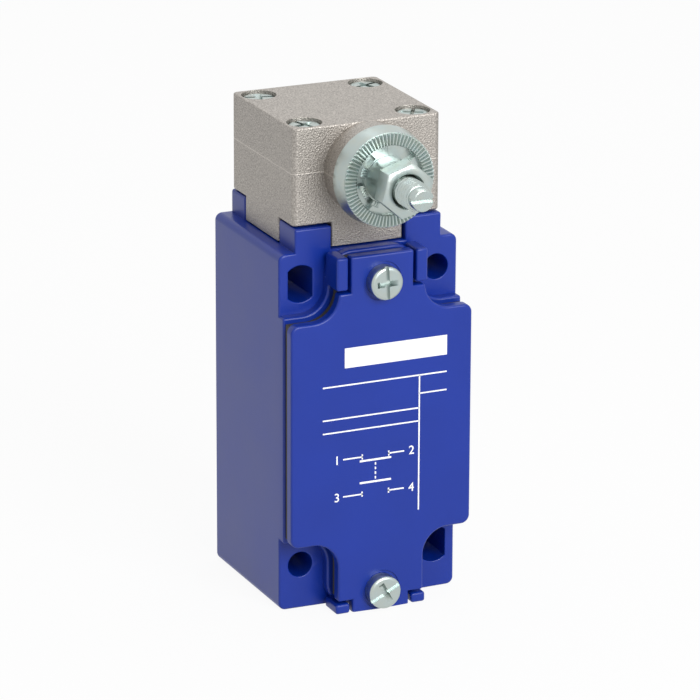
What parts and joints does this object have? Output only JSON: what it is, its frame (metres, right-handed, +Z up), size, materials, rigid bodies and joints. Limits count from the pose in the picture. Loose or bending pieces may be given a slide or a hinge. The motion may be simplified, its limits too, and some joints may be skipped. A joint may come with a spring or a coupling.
{
  "type": "limit switch",
  "caption": "Rotary-head limit switch: die-cast enclosure with a screwed front cover, cable entry, corner fixing holes and a bare serrated spindle that takes an operating lever.",
  "frame": {"origin": "centre of the four-hole fixing pattern, on the flat back face", "axes": "+Z up towards the rotary head, -Y out of the cover and along the spindle's free end, +X to the right seen from the front"},
  "size_m": [0.04, 0.0591, 0.1023],
  "materials": {
    "blue_enamel": "satin blue baked enamel on die-cast zinc alloy",
    "die_cast_zinc": "bare die-cast zinc alloy with a fine bright grain",
    "zinc_plate": "clear bluish zinc plating on steel",
    "spring_steel": "plain hardened steel",
    "bronze": "sintered bronze",
    "brass_strip": "tinned brass",
    "dark_rubber": "matt nitrile rubber",
    "black_moulding": "moulded thermoset",
    "grey_moulding": "moulded lid",
    "white_moulding": "moulded acetal"
  },
  "bodies": {
    "housing": {"body_housing": "blue_enamel", "cover": "blue_enamel", "cover_gasket": "dark_rubber", "cover_screws": "zinc_plate", "head_housing": "die_cast_zinc", "head_screws": "zinc_plate", "head_base_plate": "die_cast_zinc", "stem_seal": "dark_rubber", "spindle_bush": "bronze", "spindle_seal": "dark_rubber", "tail_bush": "bronze", "contact_block_case": "black_moulding", "contact_block_lid": "grey_moulding", "break_terminal_left": "brass_strip", "break_terminal_right": "brass_strip", "make_terminal_left": "brass_strip", "make_terminal_right": "brass_strip", "terminal_clamps": "zinc_plate", "terminal_screws": "zinc_plate", "block_screws": "zinc_plate", "earth_screw": "zinc_plate", "earth_washer": "zinc_plate", "follower_spring": "spring_steel", "plunger_spring": "spring_steel"},
    "spindle": {"spindle": "zinc_plate", "drive_disc": "zinc_plate", "spacer_sleeve": "zinc_plate", "hex_nut": "zinc_plate", "spindle_circlip": "spring_steel", "drive_cam": "spring_steel", "cam_pin": "spring_steel"},
    "follower": {"cam_follower": "spring_steel"},
    "plunger": {"contact_plunger": "white_moulding", "contact_bridge": "brass_strip", "bridge_spring": "spring_steel"}
  },
  "joints": [
    {"name": "spindle_turn", "type": "hinge", "parent": "housing", "child": "spindle", "pos_m": [0, -0.0383, 0.0525], "axis": [0, 1, 0], "range_deg": [0, 70], "stiffness_Nm_per_rad": 0.12, "springref_deg": -45.84},
    {"name": "follower_slide", "type": "slide", "parent": "housing", "child": "follower", "axis": [0, 0, -1], "range_m": [0, 0.00294], "deforming": ["follower_spring"]},
    {"name": "plunger_slide", "type": "slide", "parent": "housing", "child": "plunger", "axis": [0, 0, -1], "range_m": [0, 0.00294], "deforming": ["plunger_spring"]}
  ],
  "couplings": [
    {"joint": "follower_slide", "follows": "spindle_turn", "m_per_rad": 0.0024},
    {"joint": "plunger_slide", "follows": "spindle_turn", "m_per_rad": 0.0024}
  ]
}
